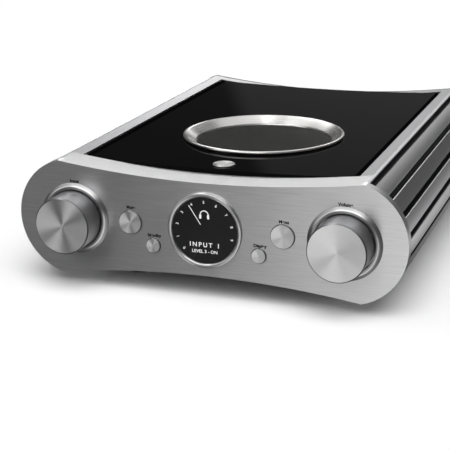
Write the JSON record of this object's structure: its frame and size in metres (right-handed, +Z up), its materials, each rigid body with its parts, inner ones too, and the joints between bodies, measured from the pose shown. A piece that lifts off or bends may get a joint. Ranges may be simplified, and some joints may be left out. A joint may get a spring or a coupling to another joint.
{
  "type": "headphone amplifier",
  "caption": "Low hi-fi headphone amplifier with a dog-bone aluminium front, two spun knobs, a round display, push buttons, slotted sides and a gloss black lid with a vent ring.",
  "frame": {"origin": "on the floor plane under the feet, in the middle of the object's box across the width and the depth", "axes": "+X to the right of someone facing the front, +Y from the front panel to the back, +Z up"},
  "size_m": [0.325, 0.42, 0.1048],
  "materials": {
    "brushed_aluminium": "horizontally brushed, clear anodised, satin",
    "spun_aluminium": "spun on a lathe, satin, with bright chamfers",
    "black_gloss": "mirror-gloss black",
    "display_glass": "dark window with pale figures",
    "vent_mesh": "fine black woven wire",
    "badge_metal": "plain satin disc",
    "black_anodised": "fine satin black",
    "foot_rubber": "matte",
    "zinc_steel": "zinc plated",
    "black_plastic": "moulded, fine texture",
    "socket_steel": "nickel plated",
    "gilt_brass": "gilt",
    "circuit_board": "solder resist",
    "transformer_tape": "varnished tape",
    "capacitor_sleeve": "shrink sleeve",
    "ribbon_grey": "ribbed flat cable",
    "fuse_glass": "glass tube"
  },
  "bodies": {
    "case": {"front_panel": "brushed_aluminium", "outer_case": "brushed_aluminium", "display_bezel": "brushed_aluminium", "lid_ring": "spun_aluminium", "input_knob_collar": "spun_aluminium", "volume_knob_collar": "spun_aluminium", "lid_panel": "black_gloss", "display_window": "display_glass", "lid_mesh": "vent_mesh", "lid_badge": "badge_metal", "base_plate": "black_anodised", "rear_panel": "black_anodised", "heat_sink_left": "black_anodised", "heat_sink_right": "black_anodised", "foot_front_left": "foot_rubber", "foot_front_right": "foot_rubber", "foot_rear_left": "foot_rubber", "foot_rear_right": "foot_rubber", "foot_screw_front_left": "zinc_steel", "foot_screw_front_right": "zinc_steel", "foot_screw_rear_left": "zinc_steel", "foot_screw_rear_right": "zinc_steel", "input_encoder_nut": "zinc_steel", "volume_encoder_nut": "zinc_steel", "transformer_washer": "zinc_steel", "transformer_bolt": "zinc_steel", "input_encoder": "black_plastic", "volume_encoder": "black_plastic", "display_module": "black_plastic", "power_inlet": "black_plastic", "optical_socket": "black_plastic", "headphone_socket": "black_plastic", "balanced_output_left": "socket_steel", "balanced_output_right": "socket_steel", "usb_socket": "socket_steel", "line_output_sockets": "gilt_brass", "line_input_sockets": "gilt_brass", "coax_socket": "gilt_brass", "front_board": "circuit_board", "main_board": "circuit_board", "input_board": "circuit_board", "transformer_coil": "transformer_tape", "reservoir_capacitor_1": "capacitor_sleeve", "reservoir_capacitor_2": "capacitor_sleeve", "reservoir_capacitor_3": "capacitor_sleeve", "reservoir_capacitor_4": "capacitor_sleeve", "ribbon_cable": "ribbon_grey"},
    "input_knob": {"input_knob": "spun_aluminium", "input_shaft": "zinc_steel"},
    "volume_knob": {"volume_knob": "spun_aluminium", "volume_shaft": "zinc_steel"},
    "mute_button": {"mute_button": "spun_aluminium"},
    "menu_button": {"menu_button": "spun_aluminium"},
    "standby_button": {"standby_button": "spun_aluminium"},
    "display_button": {"display_button": "spun_aluminium"},
    "power_rocker": {"power_rocker": "black_plastic"},
    "fuse_drawer": {"fuse_drawer": "black_plastic", "mains_fuse": "fuse_glass"}
  },
  "joints": [
    {"name": "input_knob_spin", "type": "hinge", "parent": "case", "child": "input_knob", "pos_m": [-0.113, -0.185, 0.0573], "axis": [0, 1, 0], "continuous": true},
    {"name": "volume_knob_spin", "type": "hinge", "parent": "case", "child": "volume_knob", "pos_m": [0.113, -0.185, 0.0573], "axis": [0, 1, 0], "continuous": true},
    {"name": "mute_button_press", "type": "slide", "parent": "case", "child": "mute_button", "axis": [0, 1, 0], "range_m": [0, 0.001], "stiffness_N_per_m": 1500},
    {"name": "menu_button_press", "type": "slide", "parent": "case", "child": "menu_button", "axis": [0, 1, 0], "range_m": [0, 0.001], "stiffness_N_per_m": 1500},
    {"name": "standby_button_press", "type": "slide", "parent": "case", "child": "standby_button", "axis": [0, 1, 0], "range_m": [0, 0.001], "stiffness_N_per_m": 1500},
    {"name": "display_button_press", "type": "slide", "parent": "case", "child": "display_button", "axis": [0, 1, 0], "range_m": [0, 0.001], "stiffness_N_per_m": 1500},
    {"name": "power_rocker_tilt", "type": "hinge", "parent": "case", "child": "power_rocker", "pos_m": [0.117, 0.1935, 0.0743], "axis": [-1, 0, 0], "range_deg": [0, 15]},
    {"name": "fuse_drawer_slide", "type": "slide", "parent": "case", "child": "fuse_drawer", "axis": [0, 1, 0], "range_m": [0, 0.016]}
  ]
}
